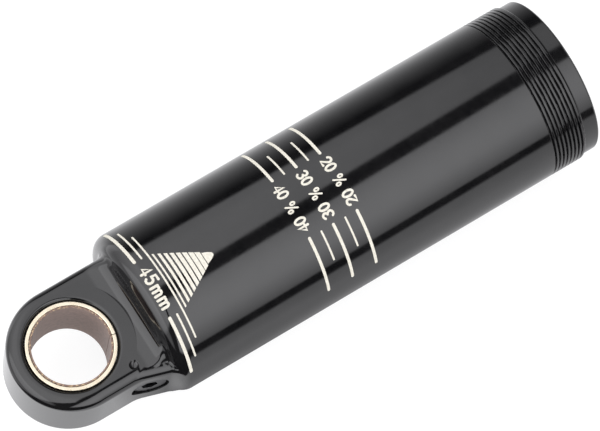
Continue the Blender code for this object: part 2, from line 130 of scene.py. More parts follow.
# The port's plug, as depths below the pad.
PLUG_CLEARANCE = 0.05 * MM
PLUG_FACE = 0.3 * MM
PLUG_FOOT = 4.6 * MM
PLUG_GROOVE = (3.3 * MM, 4.3 * MM)
PLUG_GROOVE_DEPTH = 0.85 * MM
PLUG_PITCH = 0.5 * MM
PLUG_THREADS = 5
PLUG_THREAD_DEPTH = 0.3 * MM
PLUG_KEY_WIDTH = 2.5 * MM
PLUG_KEY_DEPTH = 2.4 * MM
PLUG_KEY_DRILL_DEPTH = 0.2 * MM
PLUG_EDGE = 0.1 * MM

# Etched marks: places along X, widths, and angles in degrees from the middle of the scales.
MARK_RAISE = 0.012 * MM
MARK_SINK = 0.05 * MM

# The sag scale.
SAG_PLACES = (41.05 * MM, 45.68 * MM, 50.27 * MM)
SAG_GAP_ANGLE = 23
SAG_REACH_ANGLE = 66.5
SAG_SHORT_ANGLE = 44.5
SAG_HEIGHT = 1.8 * MM
SAG_DIGITS = (-4.4 * MM, -3.05 * MM)
SAG_LONG_WIDTH = 0.52 * MM
SAG_PEN = 0.4 * MM
PERCENT_PLACE = -0.42 * SAG_HEIGHT
PERCENT_PEN = 0.3 * MM
SHORT_WIDTH = 0.33 * MM

# The middle of the scales lies this far round the tube from +Z, towards -Y.
SCALE_SHIFT = 0.5 * MM
SCALE_TURN = math.degrees(SCALE_SHIFT / TUBE_RADIUS)

# The stroke scale and its wedge of bars.
STROKE_LONG_X = 14.5 * MM
STROKE_SHORT_X = 15.86 * MM
STROKE_WHOLE_X = 17.01 * MM
STROKE_GAP_ANGLE = 22
STROKE_LONG_ANGLE = 67
STROKE_SHORT_ANGLE = 55
STROKE_WHOLE_ANGLE = 42
STROKE_LONG_WIDTH = 0.55 * MM
STROKE_WHOLE_WIDTH = 0.3 * MM
STROKE_TEXT_X = 15.15 * MM
STROKE_TEXT_HEIGHT = 2.0 * MM
STROKE_TEXT_PLACES = (-3.7 * MM, -1.9 * MM, -0.1 * MM, 2.15 * MM)
STROKE_PEN = 0.44 * MM
WEDGE_BARS = 8
WEDGE_START_X = 17.74 * MM
WEDGE_STEP = 0.877 * MM
WEDGE_TIP_START_X = 24.4 * MM
WEDGE_TIP_X = 26.0 * MM
WEDGE_TIP_BLUNT = 1500
WEDGE_HALF_WIDTH = 5.2 * MM
WEDGE_TAPER = 0.6
WEDGE_THIN = 0.3 * MM
WEDGE_THICK = 0.78 * MM

# Light and camera.
LEFT_BOX_STRENGTH = 1.55
RIGHT_BOX_STRENGTH = 3.5
HORIZON_STRENGTH = 0.9
FLOOR_REACH = 3.0
CAMERA_TARGET = Vector((45.235 * MM, 0.905 * MM, 0))
CAMERA_PLACE = Vector((-156.12 * MM, -172.81 * MM, 775.52 * MM))
CAMERA_ROLL = math.radians(17.358)
CAMERA_LENS = 299.406

# Pieces that keep their CAD shape and share a finish.
BRASS_NODES = ("valve_core_head", "valve_core_barrel", "valve_pin", "valve_plunger_cup")
RUBBER_NODES = (
    "fill_port_o_ring",
    "valve_core_gasket",
    "valve_plunger_seal",
    "ifp_quad_ring",
    "ifp_bleed_o_ring",
)


# ---------------------------------------------------------------- meshes


def make_object(name, mesh, body, material):
    """An object that moves with one CAD body."""
    made = bpy.data.objects.new(name, mesh)
    bpy.context.scene.collection.objects.link(made)
    mesh.materials.clear()
    mesh.materials.append(material)
    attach(made, body)
    return made


def mesh_from(name, points, faces):
    mesh = bpy.data.meshes.new(name)
    mesh.from_pydata([tuple(p) for p in points], [], [tuple(f) for f in faces])
    mesh.update()
    return mesh


def smooth(mesh, angle=30):
    mesh.shade_smooth()
    mesh.set_sharp_from_angle(angle=math.radians(angle))


def outward(mesh):
    """Turns the faces of a closed mesh to the outside."""
    made = bmesh.new()
    made.from_mesh(mesh)
    bmesh.ops.recalc_face_normals(made, faces=made.faces)
    made.to_mesh(mesh)
    made.free()


def arc(centre, radius, start, end, steps):
    """Points on an arc, from one angle in degrees to another."""
    angles = np.radians(np.linspace(start, end, steps + 1))
    return [(centre[0] + radius * math.cos(a), centre[1] + radius * math.sin(a)) for a in angles]


def soft_corners(outline, radius, steps=3, closed=True):
    """The outline with each corner rounded off by short arcs."""
    rounded_off = []
    count = len(outline)
    for index, corner in enumerate(outline):
        here = Vector(corner)
        if not closed and index in (0, count - 1):
            rounded_off.append(tuple(here))
            continue
        back = Vector(outline[index - 1]) - here
        ahead = Vector(outline[(index + 1) % count]) - here
        reach = min(radius, back.length / 2.2, ahead.length / 2.2)
        first = here + back.normalized() * reach
        last = here + ahead.normalized() * reach
        rounded_off.append(tuple(here + back.normalized() * reach * 1.08))
        for step in range(steps + 1):
            share = step / steps
            blend = first.lerp(here, share).lerp(here.lerp(last, share), share)
            rounded_off.append(tuple(blend))
        rounded_off.append(tuple(here + ahead.normalized() * reach * 1.08))
    return rounded_off


def turned(name, outline, to_world, steps=96, start=0.0, sweep=2 * math.pi):
    """A closed outline of (radius, height) turned about the axis. A part turn gets flat ends."""
    full = abs(sweep - 2 * math.pi) < 1e-9
    turns = steps if full else steps + 1
    points = []
    for index in range(turns):
        angle = start + sweep * index / steps
        for radius, height in outline:
            spot = Vector((radius * math.cos(angle), radius * math.sin(angle), height))
            points.append(to_world @ spot)
    count = len(outline)
    faces = []
    for index in range(turns if full else turns - 1):
        after = (index + 1) % turns
        for k in range(count):
            nearby = (k + 1) % count
            faces.append(
                (index * count + k, index * count + nearby, after * count + nearby, after * count + k)
            )
    if not full:
        faces.append(tuple(range(count)))
        faces.append(tuple(range((turns - 1) * count, turns * count)))
    mesh = mesh_from(name, points, faces)
    outward(mesh)
    return mesh


def spindle(name, outline, to_world, steps=64):
    """A solid turned from (radius, height) points whose first and last lie on the axis."""
    inner = outline[1:-1]
    count = len(inner)
    points = [to_world @ Vector((0, 0, outline[0][1])), to_world @ Vector((0, 0, outline[-1][1]))]
    for index in range(steps):
        angle = 2 * math.pi * index / steps
        for radius, height in inner:
            spot = Vector((radius * math.cos(angle), radius * math.sin(angle), height))
            points.append(to_world @ spot)
    faces = []
    for index in range(steps):
        here = 2 + index * count
        after = 2 + (index + 1) % steps * count
        faces.append((0, here, after))
        faces.append((1, after + count - 1, here + count - 1))
        for k in range(count - 1):
            faces.append((here + k, here + k + 1, after + k + 1, after + k))
    mesh = mesh_from(name, points, faces)
    outward(mesh)
    return mesh


def cut(mesh, cutters):
    """The mesh after the cutters' volumes are taken from it."""
    block = bpy.data.objects.new("block", mesh)
    bpy.context.scene.collection.objects.link(block)
    tools = []
    for cutter in cutters:
        tool = bpy.data.objects.new("tool", cutter)
        bpy.context.scene.collection.objects.link(tool)
        tools.append(tool)
        step = block.modifiers.new("cut", "BOOLEAN")
        step.operation = "DIFFERENCE"
        step.solver = "EXACT"
        step.object = tool
    bpy.context.view_layer.update()
    evaluated = block.evaluated_get(bpy.context.evaluated_depsgraph_get())
    result = bpy.data.meshes.new_from_object(evaluated)
    for used in [block] + tools:
        bpy.data.objects.remove(used)
    return result


# ---------------------------------------------------------------- the body's outer skin


def rounded(a, b, radius):
    """Distance to a solid bounded by two faces, at distances a and b, with their edge rounded."""
    beyond = np.hypot(np.maximum(a + radius, 0), np.maximum(b + radius, 0))
    return beyond + np.minimum(np.maximum(a, b) + radius, 0) - radius


def filleted(a, b, radius):
    """Distance to two joined solids, with a hollow of that radius along their meeting."""
    within = np.hypot(np.maximum(radius - a, 0), np.maximum(radius - b, 0))
    return np.maximum(np.minimum(a, b), radius) - within


def merged(a, b, reach):
    """Distance to two joined solids whose faces run softly into each other."""
    share = np.maximum(reach - np.abs(a - b), 0) / reach
    return np.minimum(a, b) - share * share * reach / 4


def skin_distance(place):
    """Distance of points from the outside of the eyelet and the tube's closed end."""
    x, y, z = place[..., 0], place[..., 1], place[..., 2]
    tube = rounded(np.hypot(y, z) - TUBE_RADIUS, SHOULDER_X - x, SHOULDER_ROUND)
    head = np.hypot(np.minimum(x, 0), y) - EYELET_RADIUS
    pad = (x - PORT_MOUTH.x) * PORT_AXIS.x + (y - PORT_MOUTH.y) * PORT_AXIS.y
    pad = np.maximum(np.maximum(pad, PAD_START_X - x), np.maximum(y, x - PAD_END_X))
    outline = merged(head, pad, PAD_BLEND)
    height = np.abs(z) - EYELET_HALF_WIDTH
    edge = np.where(z > 0, EYELET_EDGE, LOWER_EDGE)
    eyelet = rounded(outline, height, edge)
    along = np.maximum(x - SHOULDER_X + WEB_FILLET, 0)
    hollow = WEB_FILLET - np.hypot(along, np.maximum(WEB_FILLET - height, 0))
    web = rounded(outline, hollow, EYELET_EDGE)
    web = rounded(web, np.maximum(-x, np.hypot(y, z) - WEB_REACH), WEB_EDGE)
    return np.minimum(filleted(tube, eyelet, SHOULDER_FILLET), merged(tube, web, WEB_BLEND))


def surface_net(values, corner, step):
    """Points and quads where the sampled values pass through zero."""
    cells = tuple(n - 1 for n in values.shape)
    total = np.zeros((int(np.prod(cells)), 3))
    count = np.zeros(int(np.prod(cells)))
    quads = []
    for axis in range(3):
        first = np.take(values, range(values.shape[axis] - 1), axis)
        second = np.take(values, range(1, values.shape[axis]), axis)
        found = np.argwhere((first < 0) != (second < 0))
        b, c = (axis + 1) % 3, (axis + 2) % 3
        inner = (found[:, b] > 0) & (found[:, c] > 0)
        inner &= (found[:, b] < values.shape[b] - 1) & (found[:, c] < values.shape[c] - 1)
        found = found[inner]
        start = first[tuple(found.T)]
        end = second[tuple(found.T)]
        place = found.astype(float)
        place[:, axis] += start / (start - end)
        ring = []
        for back_b, back_c in ((0, 0), (1, 0), (1, 1), (0, 1)):
            cell = found.copy()
            cell[:, b] -= back_b
            cell[:, c] -= back_c
            flat = np.ravel_multi_index(tuple(cell.T), cells)
            np.add.at(total, flat, place)
            np.add.at(count, flat, 1)
            ring.append(flat)
        ring = np.stack(ring, 1)
        ring[start >= 0] = ring[start >= 0][:, ::-1]
        quads.append(ring)
    used = np.flatnonzero(count)
    number = np.zeros(len(count), int)
    number[used] = np.arange(len(used))
    points = total[used] / count[used][:, None] * step + corner
    return points, number[np.concatenate(quads)]


def slope(distance, points, reach):
    """Direction in which the distance grows, at each point."""
    sides = []
    for axis in range(3):
        shift = np.zeros(3)
        shift[axis] = reach
        sides.append((distance(points + shift) - distance(points - shift)) / (2 * reach))
    return np.stack(sides, 1)


def settle(points, quads, rounds=3):
    """Evens the points out along the skin and brings each one onto it."""
    pairs = np.concatenate([quads[:, [k, (k + 1) % 4]] for k in range(4)])
    pairs = np.concatenate([pairs, pairs[:, ::-1]])
    for turn in range(2 * rounds):
        if turn < rounds:
            total = np.zeros_like(points)
            np.add.at(total, pairs[:, 0], points[pairs[:, 1]])
            number = np.bincount(pairs[:, 0], minlength=len(points))
            points = points * 0.5 + total / number[:, None] * 0.5
        for _ in range(3):
            normal = slope(skin_distance, points, GRID_STEP / 50)
            length = (normal * normal).sum(1)
            points = points - normal * (skin_distance(points) / length)[:, None]
    return points


def closed_end():
    """The eyelet and the tube's closed end as a bmesh, open at the join plane."""
    margin = 3 * GRID_STEP
    low = np.array([-EYELET_RADIUS - margin, -TUBE_RADIUS - margin, -TUBE_RADIUS - margin])
    high = np.array([JOIN_X + 2 * margin, TUBE_RADIUS + margin, TUBE_RADIUS + margin])
    sizes = np.ceil((high - low) / GRID_STEP).astype(int) + 1
    axes = [low[k] + GRID_STEP * np.arange(sizes[k]) for k in range(3)]
    grid = np.stack(np.meshgrid(*axes, indexing="ij"), -1)
    points, quads = surface_net(skin_distance(grid), low, GRID_STEP)
    points = settle(points, quads)
    made = bmesh.new()
    made.from_mesh(mesh_from("closed_end", points, quads))
    everything = made.verts[:] + made.edges[:] + made.faces[:]
    bmesh.ops.bisect_plane(
        made,
        geom=everything,
        dist=GRID_STEP / 100,
        plane_co=(JOIN_X, 0, 0),
        plane_no=(1, 0, 0),
        clear_outer=True,
    )
    for edge in made.edges:
        if edge.is_boundary:
            for vert in edge.verts:
                across = math.hypot(vert.co.y, vert.co.z)
                scale = TUBE_RADIUS / across
                vert.co = (JOIN_X, vert.co.y * scale, vert.co.z * scale)
    return made


# ---------------------------------------------------------------- the tube


def groove_depth(x, angle):
    """Depth of the thread's V groove below the tube, along its helix."""
    turn = (x - THREAD_START_X) / THREAD_PITCH - angle / (2 * math.pi)
    off_centre = np.abs(turn - np.floor(turn) - 0.5) * THREAD_PITCH
    share = np.clip(1 - off_centre / (GROOVE_WIDTH / 2), 0, 1)
    fade_in = np.clip((x - THREAD_START_X) / (THREAD_PITCH / 2), 0, 1)
    fade_out = np.clip((THREAD_END_X - x) / (THREAD_PITCH / 2), 0, 1)
    return THREAD_DEPTH * (0.5 - 0.5 * np.cos(math.pi * share)) * fade_in * fade_out


def tube_rings():
    """Rings of points from the join plane, out over the thread, round the mouth and down the bore."""
    angles = np.linspace(0, 2 * math.pi, AROUND, endpoint=False)
    plain = np.linspace(JOIN_X + GRID_STEP * 1.5, THREAD_START_X - THREAD_PITCH, 40)
    thread_rings = int((THREAD_END_X - THREAD_START_X + THREAD_PITCH) / THREAD_PITCH * RINGS_PER_PITCH)
    threaded = np.linspace(THREAD_START_X - THREAD_PITCH / 2, THREAD_END_X, thread_rings)
    rings = [(x, TUBE_RADIUS - groove_depth(x, angles)) for x in np.concatenate([plain, threaded])]
    edge = MOUTH_EDGE
    lip = MOUTH_LIP
    corner = BORE_RADIUS - BORE_FLOOR_ROUND
    turned_part = [
        (TUBE_RADIUS, THREAD_END_X + 0.06 * MM),
        (COLLAR_RADIUS, COLLAR_START_X),
        (COLLAR_RADIUS, MOUTH_X - edge),
        (COLLAR_RADIUS - edge, MOUTH_X),
        (BORE_RADIUS + lip, MOUTH_X),
        (BORE_RADIUS, MOUTH_X - lip),
    ]
    turned_part = soft_corners(turned_part, TURNED_EDGE, 3, closed=False)
    turned_part += [(BORE_RADIUS, x) for x in np.linspace(MOUTH_X - 2 * lip, BORE_FLOOR_X + 3 * MM, 30)]
    turned_part += arc((corner, BORE_FLOOR_X + BORE_FLOOR_ROUND), BORE_FLOOR_ROUND, 0, -90, 8)
    rings += [(x, np.full(AROUND, radius)) for radius, x in turned_part]
    return [
        np.stack([np.full(AROUND, x), -radius * np.sin(angles), radius * np.cos(angles)], 1)
        for x, radius in rings
    ]


def roll_angle(spot):
    return math.atan2(-spot.y, spot.z) % (2 * math.pi)


def stitch(made, loop, ring):
    """Triangles between two rings of unlike numbers of points."""
    loop = sorted(loop, key=lambda vert: roll_angle(vert.co))
    ring = sorted(ring, key=lambda vert: roll_angle(vert.co))
    first, second = 0, 0
    while first < len(loop) or second < len(ring):
        a, b = loop[first % len(loop)], ring[second % len(ring)]
        next_a, next_b = loop[(first + 1) % len(loop)], ring[(second + 1) % len(ring)]
        angle_a = roll_angle(next_a.co) + 2 * math.pi * ((first + 1) // len(loop))
        angle_b = roll_angle(next_b.co) + 2 * math.pi * ((second + 1) // len(ring))
        if second >= len(ring) or (first < len(loop) and angle_a < angle_b):
            made.faces.new((a, b, next_a))
            first += 1
        else:
            made.faces.new((a, b, next_b))
            second += 1


def body_blank():
    """The whole damper body before its bores are cut."""
    made = closed_end()
    loop = list({vert for edge in made.edges if edge.is_boundary for vert in edge.verts})
    rows = [[made.verts.new(point) for point in ring] for ring in tube_rings()]
    stitch(made, loop, rows[0])
    for row, after in zip(rows, rows[1:]):
        for k in range(AROUND):
            nearby = (k + 1) % AROUND
            made.faces.new((row[k], row[nearby], after[nearby], after[k]))
    made.faces.new(rows[-1])
    bmesh.ops.recalc_face_normals(made, faces=made.faces)
    mesh = bpy.data.meshes.new("damper_body_blank")
    made.to_mesh(mesh)
    made.free()
    return mesh


# ---------------------------------------------------------------- cuts in the body


def port_frame():
    """Turns +Z onto the port's outward axis, at its mouth."""
    turn = Vector((0, 0, 1)).rotation_difference(PORT_AXIS)
    return Matrix.Translation(PORT_MOUTH) @ turn.to_matrix().to_4x4()


def eyelet_bore_cutter():
    """The eyelet's bore with a rounded lead-in at both faces."""
    face = EYELET_HALF_WIDTH
    cone_end = (EYELET_BORE + 0.42 * MM, face - 0.28 * MM)
    lip_centre = (EYELET_BORE_LIP, face - 0.4 * MM)
    lip = arc(lip_centre, 0.4 * MM, 150, 90, 5)
    half = [(EYELET_BORE, face - 0.75 * MM), cone_end] + lip
    half.append((EYELET_BORE_LIP, face + MM))
    outline = [(0, -face - MM)] + [(r, -h) for r, h in reversed(half)] + half + [(0, face + MM)]
    return spindle("eyelet_bore_cutter", outline, Matrix.Identity(4), 192)


def facing_cutter(side):
    """The round facing about the bore, which nicks the foot of the web."""
    low, high = sorted((side * (EYELET_HALF_WIDTH + FACING_GAP), side * TUBE_RADIUS))
    outline = [(0, low), (FACING_RADIUS, low), (FACING_RADIUS, high), (0, high)]
    return spindle("facing_cutter", outline, Matrix.Identity(4), 192)


def port_cutter():
    """The spotface, the plug's thread bore, the valve core's bore and the gas bore, in one."""
    outline = [
        (0, 4 * MM),
        (SPOTFACE_RADIUS, 4 * MM),
        (SPOTFACE_RADIUS, -SPOTFACE_DEPTH),
        (PLUG_BORE_RADIUS + 0.1 * MM, -SPOTFACE_DEPTH),
        (PLUG_BORE_RADIUS, -SPOTFACE_DEPTH - 0.1 * MM),
        (PLUG_BORE_RADIUS, -PLUG_BORE_DEPTH),
        (CORE_SEAT_RADIUS, -PLUG_BORE_DEPTH - 0.2 * MM),
        (CORE_SEAT_RADIUS, -CORE_SEAT_DEPTH),
        (CORE_RADIUS, -CORE_SEAT_DEPTH - 0.3 * MM),
        (CORE_RADIUS, -PORT_DEPTH),
        (0, -PORT_DEPTH),
    ]
    return spindle("port_cutter", outline, port_frame(), 128)


def passage_cutter():
    """The drilling that joins the gas bore to the tube's bore."""
    bottom = port_frame() @ Vector((0, 0, -PORT_DEPTH + 1.4 * MM))
    turn = Matrix.Rotation(math.pi / 2, 4, "Y")
    outline = [(0, 0), (PASSAGE_RADIUS, 0), (PASSAGE_RADIUS, 8 * MM), (0, 8 * MM)]
    return spindle("passage_cutter", outline, Matrix.Translation(bottom) @ turn, 32)


def dimple_cutter():
    """A drilled mark in the eyelet's upper face, with a broken edge."""
    outline = [
        (0, 1 * MM),
        (DIMPLE_RADIUS + 0.1 * MM, 1 * MM),
        (DIMPLE_RADIUS + 0.1 * MM, 0),
        (DIMPLE_RADIUS, -0.1 * MM),
        (DIMPLE_RADIUS, -0.25 * MM),
        (0, -DIMPLE_DEPTH),
    ]
    return spindle("dimple_cutter", outline, Matrix.Translation(DIMPLE_PLACE), 48)


def damper_body(material):
    cutters = [eyelet_bore_cutter(), port_cutter(), passage_cutter(), dimple_cutter()]
    cutters += [facing_cutter(1), facing_cutter(-1)]
    mesh = cut(body_blank(), cutters)
    smooth(mesh, 28)
    made = make_object("damper_body_machined", mesh, "body", material)
    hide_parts("damper_body")
    return made


# ---------------------------------------------------------------- bushing, plug and marks


def split_sleeve(name, inner, outer, half_length, edge):
    """A rolled sleeve about +Z, open along one hairline split."""
    outline = [(inner, -half_length), (outer, -half_length), (outer, half_length), (inner, half_length)]
    outline = soft_corners(outline, edge, 4)
    gap = SPLIT_GAP / outer
    start = SPLIT_ANGLE + gap / 2
    mesh = turned(name, outline, Matrix.Identity(4), 240, start, 2 * math.pi - gap)
    smooth(mesh, 50)
    return mesh


def bushing(shell_material, liner_material):
    """The rolled metal shell and, inside it, the brown lining."""
    shell_inner = BUSHING_RADIUS - SHELL_WALL
    shell = split_sleeve("bushing_rolled", shell_inner, BUSHING_RADIUS, BUSHING_HALF, SHELL_EDGE)
    made = make_object("bushing_rolled", shell, "body", shell_material)
    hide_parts("bushing_shell")
    outer = shell_inner - LINER_GAP
    liner = split_sleeve("bushing_lining", outer - LINER_WALL, outer, BUSHING_HALF, LINER_EDGE)
    made = make_object("bushing_lining", liner, "body", liner_material)
    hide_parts("bushing_liner")


def plug_socket():
    """A six-sided key socket with a drilled foot, along +Z."""
    corner = PLUG_KEY_WIDTH / math.sqrt(3)
    foot = -PLUG_KEY_DEPTH - PLUG_KEY_DRILL_DEPTH
    rows = [(corner, 1 * MM), (corner, -PLUG_KEY_DEPTH), (corner * 0.6, foot)]
    points = []
    for radius, height in rows:
        for k in range(6):
            angle = math.radians(60 * k + 30)
            spot = Vector((radius * math.cos(angle), radius * math.sin(angle), height))
            points.append(port_frame() @ spot)
    faces = [tuple(range(6)), tuple(range(12, 18))]
    for row in (0, 6):
        for k in range(6):
            nearby = (k + 1) % 6
            faces.append((row + k, row + nearby, row + 6 + nearby, row + 6 + k))
    mesh = mesh_from("plug_socket", points, faces)
    outward(mesh)
    return mesh


def port_plug(material):
    """The threaded plug that closes the gas port, with its seal's groove and its key socket."""
    radius = PLUG_BORE_RADIUS - PLUG_CLEARANCE
    outline = [(PLUG_KEY_WIDTH * 0.66, -PLUG_FACE), (radius, -PLUG_FACE)]
    for turn in range(PLUG_THREADS):
        height = -PLUG_FACE - (turn + 1) * PLUG_PITCH
        outline += [(radius, height), (radius - PLUG_THREAD_DEPTH, height - PLUG_PITCH / 2)]
    groove_radius = PLUG_BORE_RADIUS - PLUG_GROOVE_DEPTH
    outline += [
        (radius, -PLUG_GROOVE[0] + PLUG_PITCH / 4),
        (radius, -PLUG_GROOVE[0]),
        (groove_radius, -PLUG_GROOVE[0]),
        (groove_radius, -PLUG_GROOVE[1]),
        (radius, -PLUG_GROOVE[1]),
        (radius, -PLUG_FOOT),
    ]
    soft = soft_corners(outline, PLUG_EDGE, 2, closed=False)
    soft = [(0, -PLUG_FACE)] + soft + [(0, -PLUG_FOOT)]
    mesh = cut(spindle("port_plug_turned", soft, port_frame(), 96), [plug_socket()])
    smooth(mesh, 35)
    made = make_object("port_plug_turned", mesh, "body", material)
    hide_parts("fill_port_plug")


def strip(centre_line, width):
    """A closed flat bar with round ends on the tube, along (arc length, x) points."""
    line = [Vector(point) for point in centre_line]
    steps = 5
    places = []
    for k in range(steps):
        angle = math.pi / 2 * k / steps
        back = (line[0] - line[1]).normalized() * (width / 2) * math.cos(angle)
        places.append((line[0] + back, width / 2 * math.sin(angle)))
    for point in line:
        places.append((point, width / 2))
    for k in reversed(range(steps)):
        angle = math.pi / 2 * k / steps
        ahead = (line[-1] - line[-2]).normalized() * (width / 2) * math.cos(angle)
        places.append((line[-1] + ahead, width / 2 * math.sin(angle)))
    sections = []
    for index, (place, half) in enumerate(places):
        before = places[max(index - 1, 0)][0]
        after = places[min(index + 1, len(places) - 1)][0]
        run = (after - before).normalized()
        side = Vector((-run.y, run.x)) * max(half, 0.004 * MM)
        sections.append((place + side, place - side))
    return sections


def on_tube(spot, radius):
    """World place of an (arc length, x) spot at some radius. Arc length grows from +Z to -Y."""
    angle = spot.x / TUBE_RADIUS
    return Vector((spot.y, -radius * math.sin(angle), radius * math.cos(angle)))


def add_band(points, faces, sections):
    """Adds one mark: a thin closed band sunk a little into the tube, from its (left, right) spots."""
    start = len(points)
    top, foot = TUBE_RADIUS + MARK_RAISE, TUBE_RADIUS - MARK_SINK
    for left, right in sections:
        points.append(on_tube(Vector(left), top))
        points.append(on_tube(Vector(right), top))
        points.append(on_tube(Vector(right), foot))
        points.append(on_tube(Vector(left), foot))
    for index in range(len(sections) - 1):
        here = start + 4 * index
        for k in range(4):
            nearby = (k + 1) % 4
            faces.append((here + k, here + nearby, here + 4 + nearby, here + 4 + k))
    last = start + 4 * (len(sections) - 1)
    faces.append((start, start + 1, start + 2, start + 3))
    faces.append((last, last + 1, last + 2, last + 3))


def across(x, from_angle, to_angle):
    """A line round the tube at one place along it, between two angles from +Z in degrees."""
    start = TUBE_RADIUS * math.radians(from_angle)
    end = TUBE_RADIUS * math.radians(to_angle)
    count = max(2, int(abs(end - start) / (0.6 * MM)))
    return [(start + (end - start) * k / count, x) for k in range(count + 1)]


def both_sides(x, from_angle, to_angle, width):
    """A round-ended line either side of the middle of the scale, at one place along the tube."""
    return [
        strip(across(x, SCALE_TURN + side * from_angle, SCALE_TURN + side * to_angle), width)
        for side in (-1, 1)
    ]


def marks(name, bands, material):
    """All the bands of one scale as one piece."""
    points, faces = [], []
    for sections in bands:
        add_band(points, faces, sections)
    mesh = mesh_from(name, points, faces)
    outward(mesh)
    smooth(mesh, 40)
    return make_object(name, mesh, "body", material)


def curve(centre, size, start, end, steps=10):
    """Points of an ellipse's arc, between two angles in degrees."""
    angles = np.radians(np.linspace(start, end, steps + 1))
    return [(centre[0] + size[0] * math.cos(a), centre[1] + size[1] * math.sin(a)) for a in angles]


def glyph(letter):
    """Pen strokes of one generic character, on a grid of unit height."""
    shapes = {
        "0": [curve((0.26, 0.5), (0.26, 0.5), 0, 360, 20)],
        "2": [curve((0.26, 0.74), (0.26, 0.26), 170, -35, 8) + [(0.02, 0.02), (0.52, 0.02)]],
        "3": [
            curve((0.24, 0.76), (0.25, 0.24), 150, -80, 8),
            curve((0.24, 0.26), (0.27, 0.27), 80, -150, 8),
        ],
        "4": [[(0.42, 0.0), (0.42, 1.0), (0.0, 0.3), (0.56, 0.3)]],
        "5": [[(0.5, 1.0), (0.08, 1.0), (0.04, 0.56)] + curve((0.24, 0.32), (0.27, 0.31), 110, -145, 8)],
        "m": [
            [(0.0, 0.0), (0.0, 0.66)],
            curve((0.19, 0.45), (0.19, 0.21), 170, 0, 6) + [(0.38, 0.0)],
            curve((0.57, 0.45), (0.19, 0.21), 170, 0, 6) + [(0.76, 0.0)],
        ],
        "%": [
            [(0.16, 0.0), (0.68, 1.0)],
            curve((0.12, 0.76), (0.13, 0.22), 0, 360, 14),
            curve((0.72, 0.24), (0.13, 0.22), 0, 360, 14),
        ],
    }
    return shapes[letter]


def writing(text, places, x, height, pen, side):
    """Pen strokes of characters placed round the tube. Side -1 turns them upside down."""
    bands = []
    for letter, place in zip(text, places):
        for stroke in glyph(letter):
            line = [
                (SCALE_SHIFT + side * (place + u * height), x + side * (v - 0.5) * height)
                for u, v in stroke
            ]
            bands.append(strip(line, pen))
    return bands


def sag_scale(material):
    """Three long lines, two short ones and their percentages, either side of the middle."""
    bands = []
    for x in SAG_PLACES:
        bands += both_sides(x, SAG_GAP_ANGLE, SAG_REACH_ANGLE, SAG_LONG_WIDTH)
    for x, following in zip(SAG_PLACES, SAG_PLACES[1:]):
        bands += both_sides((x + following) / 2, SAG_GAP_ANGLE, SAG_SHORT_ANGLE, SHORT_WIDTH)
    for x, first in zip(SAG_PLACES, "432"):
        for side in (-1, 1):
            bands += writing(first + "0", SAG_DIGITS, x, SAG_HEIGHT, SAG_PEN, side)
        bands += writing("%", [PERCENT_PLACE], x, SAG_HEIGHT, PERCENT_PEN, 1)
    return marks("sag_scale_marks", bands, material)


def wedge_half(x):
    """Half the wedge's width at one place along the tube."""
    return WEDGE_HALF_WIDTH - WEDGE_TAPER * (x - WEDGE_START_X)


def wedge_bar(x, width):
    """One bar across the wedge, its ends cut along the wedge's sides."""
    low, high = x - width / 2, x + width / 2
    shares = np.linspace(-1, 1, 15)
    return [
        ((SCALE_SHIFT + t * wedge_half(low), low), (SCALE_SHIFT + t * wedge_half(high), high))
        for t in shares
    ]


def wedge_tip():
    """The solid, blunt end of the wedge."""
    half = wedge_half(WEDGE_TIP_START_X)
    sections = []
    for place in np.linspace(-half, half, 25):
        taper = WEDGE_START_X + (WEDGE_HALF_WIDTH - abs(place)) / WEDGE_TAPER
        blunt = WEDGE_TIP_X - place * place * WEDGE_TIP_BLUNT
        end = max(min(taper, blunt), WEDGE_TIP_START_X + MARK_RAISE)
        sections.append(((SCALE_SHIFT + place, WEDGE_TIP_START_X), (SCALE_SHIFT + place, end)))
    return sections


def stroke_scale(material):
    """The stroke's length at the closed end, with a wedge of bars that point along the tube."""
    bands = both_sides(STROKE_LONG_X, STROKE_GAP_ANGLE, STROKE_LONG_ANGLE, STROKE_LONG_WIDTH)
    bands += both_sides(STROKE_SHORT_X, STROKE_GAP_ANGLE, STROKE_SHORT_ANGLE, SHORT_WIDTH)
    start, end = SCALE_TURN - STROKE_WHOLE_ANGLE, SCALE_TURN + STROKE_WHOLE_ANGLE
    bands.append(strip(across(STROKE_WHOLE_X, start, end), STROKE_WHOLE_WIDTH))
    for index in range(WEDGE_BARS):
        share = index / (WEDGE_BARS - 1)
        width = WEDGE_THIN + share**0.6 * (WEDGE_THICK - WEDGE_THIN)
        bands.append(wedge_bar(WEDGE_START_X + WEDGE_STEP * index, width))
    bands.append(wedge_tip())
    height = STROKE_TEXT_HEIGHT
    bands += writing("45mm", STROKE_TEXT_PLACES, STROKE_TEXT_X, height, STROKE_PEN, 1)
    return marks("stroke_scale_marks", bands, material)


# ---------------------------------------------------------------- materials


def new_material(name, **values):
    """A principled material and its node tree."""
    material = bpy.data.materials.new(name)
    material.use_nodes = True
    shader = material.node_tree.nodes["Principled BSDF"]
    for key, value in values.items():
        shader.inputs[key.replace("_", " ")].default_value = value
    return material, material.node_tree, shader


def noise(tree, scale, detail=4.0, stretch=(1, 1, 1)):
    """Noise in the object's own metres, stretched along the given axes."""
    place = tree.nodes.new("ShaderNodeTexCoord")
    mapping = tree.nodes.new("ShaderNodeMapping")
    mapping.inputs["Scale"].default_value = stretch
    texture = tree.nodes.new("ShaderNodeTexNoise")
    texture.inputs["Scale"].default_value = scale
    texture.inputs["Detail"].default_value = detail
    tree.links.new(place.outputs["Object"], mapping.inputs["Vector"])
    tree.links.new(mapping.outputs["Vector"], texture.inputs["Vector"])
    return texture.outputs["Fac"]


